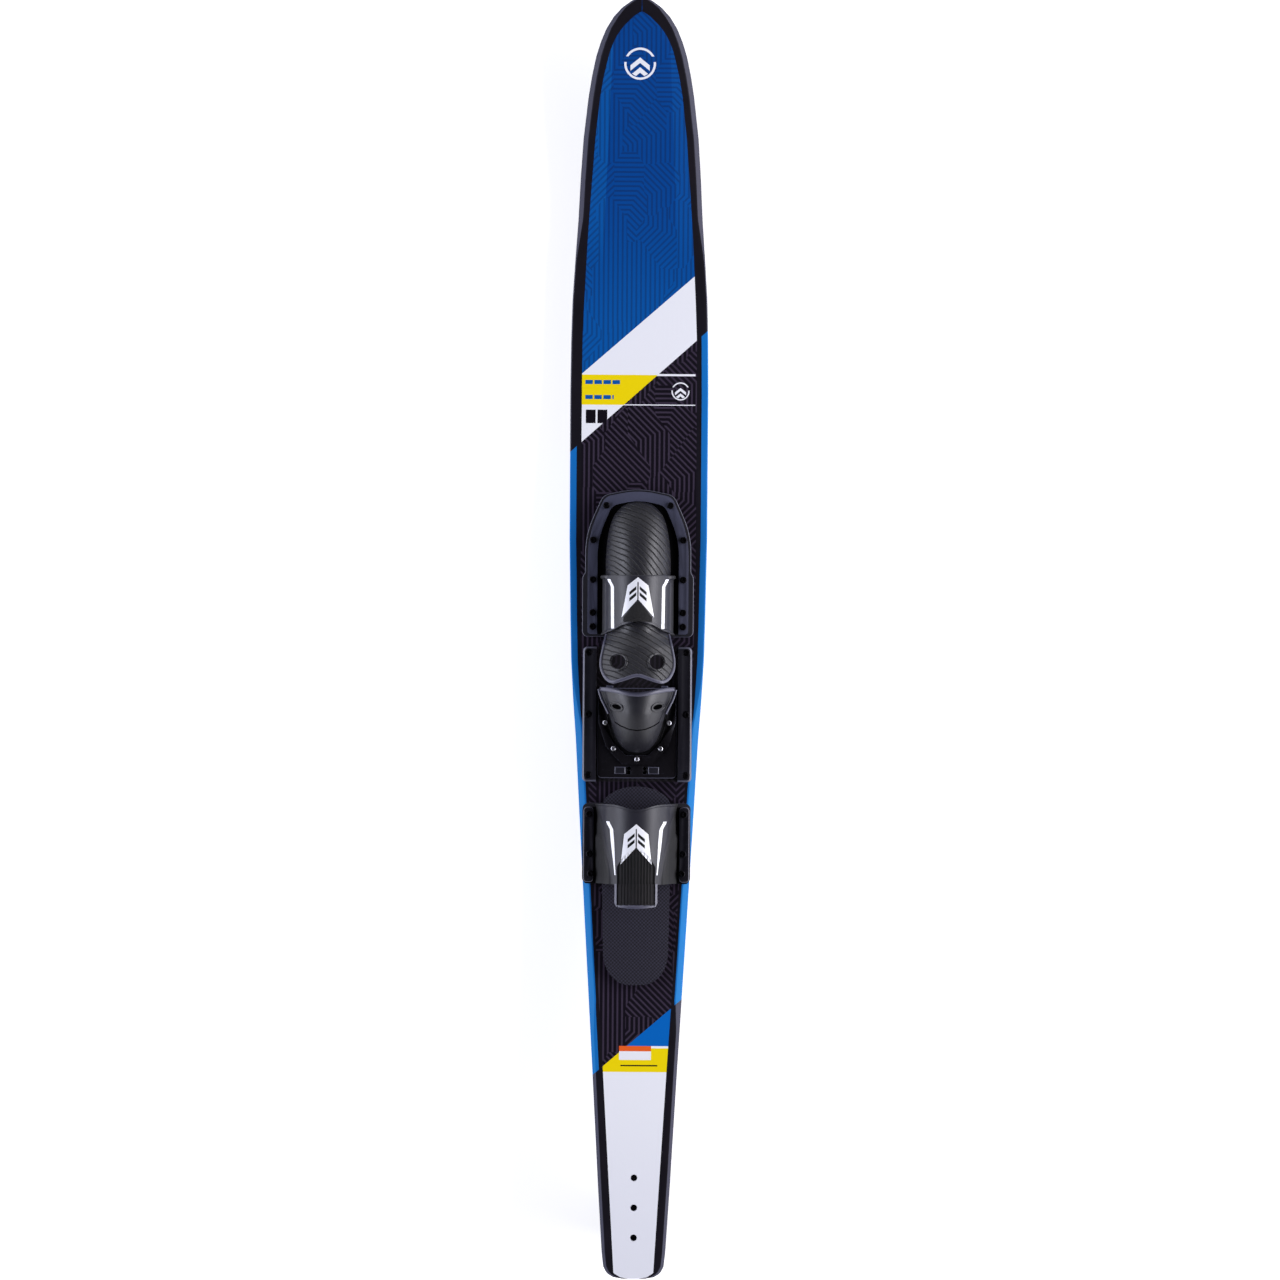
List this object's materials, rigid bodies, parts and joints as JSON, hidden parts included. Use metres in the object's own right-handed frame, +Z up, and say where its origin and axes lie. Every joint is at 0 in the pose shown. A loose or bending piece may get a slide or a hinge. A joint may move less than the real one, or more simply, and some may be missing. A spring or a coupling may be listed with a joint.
{
  "type": "water ski",
  "caption": "Combination slalom water ski with an adjustable-heel front binding, a rear toe plate and a tail fin, standing on its fin and forebody.",
  "frame": {"origin": "on the floor, below the centre of the whole ski's box", "axes": "+Y towards the nose, +X to the right, +Z up; the ski stands on its fin and forebody, so its deck slopes 2.46 degrees down towards the nose"},
  "size_m": [0.184, 1.7, 0.1543],
  "materials": {
    "deck_laminate": "printed glossy laminate",
    "base_laminate": "glossy laminate",
    "foam_core": "closed-cell foam",
    "fin_plastic": "moulded, satin",
    "brass": "turned",
    "black_screw": "black oxide",
    "bright_screw": "stainless",
    "plate_plastic": "moulded, fine grain",
    "clamp_plastic": "moulded, satin",
    "shell_rubber": "fine curved grooves",
    "strap_plastic": "moulded, satin with pale side stripes",
    "footbed_foam": "foam with contour lines",
    "pad_foam": "foam with a fine woven emboss",
    "track_plastic": "moulded",
    "rail_plastic": "moulded, satin",
    "button_plastic": "moulded",
    "bumper_plastic": "moulded, grey",
    "spring_steel": "drawn wire"
  },
  "bodies": {
    "ski": {"deck_shell": "deck_laminate", "base_shell": "base_laminate", "foam_core": "foam_core", "fin": "fin_plastic", "fin_nuts": "brass", "fin_screws": "black_screw", "front_inserts": "brass", "rail_inserts": "brass", "rear_inserts": "brass", "front_base_plate": "plate_plastic", "front_footbed": "footbed_foam", "toe_shell": "shell_rubber", "instep_strap": "strap_plastic", "horseshoe_clamp": "clamp_plastic", "front_clamp_screws": "black_screw", "track_plate": "track_plastic", "rack_strips": "track_plastic", "left_rail": "rail_plastic", "right_rail": "rail_plastic", "rail_screws": "black_screw", "rear_base_plate": "plate_plastic", "rear_foot_pad": "pad_foam", "rear_strap": "strap_plastic", "rear_tab": "shell_rubber", "left_rear_clamp": "clamp_plastic", "right_rear_clamp": "clamp_plastic", "rear_clamp_screws": "black_screw"},
    "tongue": {"instep_tongue": "shell_rubber"},
    "carriage": {"heel_carriage": "plate_plastic", "heel_footbed": "footbed_foam", "heel_cup": "shell_rubber", "heel_clamp": "plate_plastic", "heel_screws": "bright_screw", "left_lock_spring": "spring_steel", "right_lock_spring": "spring_steel", "carriage_bumpers": "bumper_plastic"},
    "flap": {"heel_flap": "shell_rubber"},
    "left_lock": {"left_lock": "button_plastic"},
    "right_lock": {"right_lock": "button_plastic"}
  },
  "joints": [
    {"name": "tongue_flex", "type": "hinge", "parent": "ski", "child": "tongue", "pos_m": [0, 0.00613, 0.12643], "axis": [-1, 0, 0], "range_deg": [0, 22], "stiffness_Nm_per_rad": 1.5},
    {"name": "heel_slide", "type": "slide", "parent": "ski", "child": "carriage", "axis": [0, 0.9991, -0.0429], "range_m": [0, 0.018]},
    {"name": "flap_flex", "type": "hinge", "parent": "carriage", "child": "flap", "pos_m": [0, -0.11782, 0.10673], "axis": [1, 0, 0], "range_deg": [0, 20], "stiffness_Nm_per_rad": 1.5},
    {"name": "right_lock_squeeze", "type": "slide", "parent": "carriage", "child": "right_lock", "axis": [-1, 0, 0], "range_m": [0, 0.005], "stiffness_N_per_m": 800, "springref_m": -0.002, "deforming": ["right_lock_spring"]},
    {"name": "left_lock_squeeze", "type": "slide", "parent": "carriage", "child": "left_lock", "axis": [1, 0, 0], "range_m": [0, 0.005], "stiffness_N_per_m": 800, "springref_m": -0.002, "deforming": ["left_lock_spring"]}
  ]
}
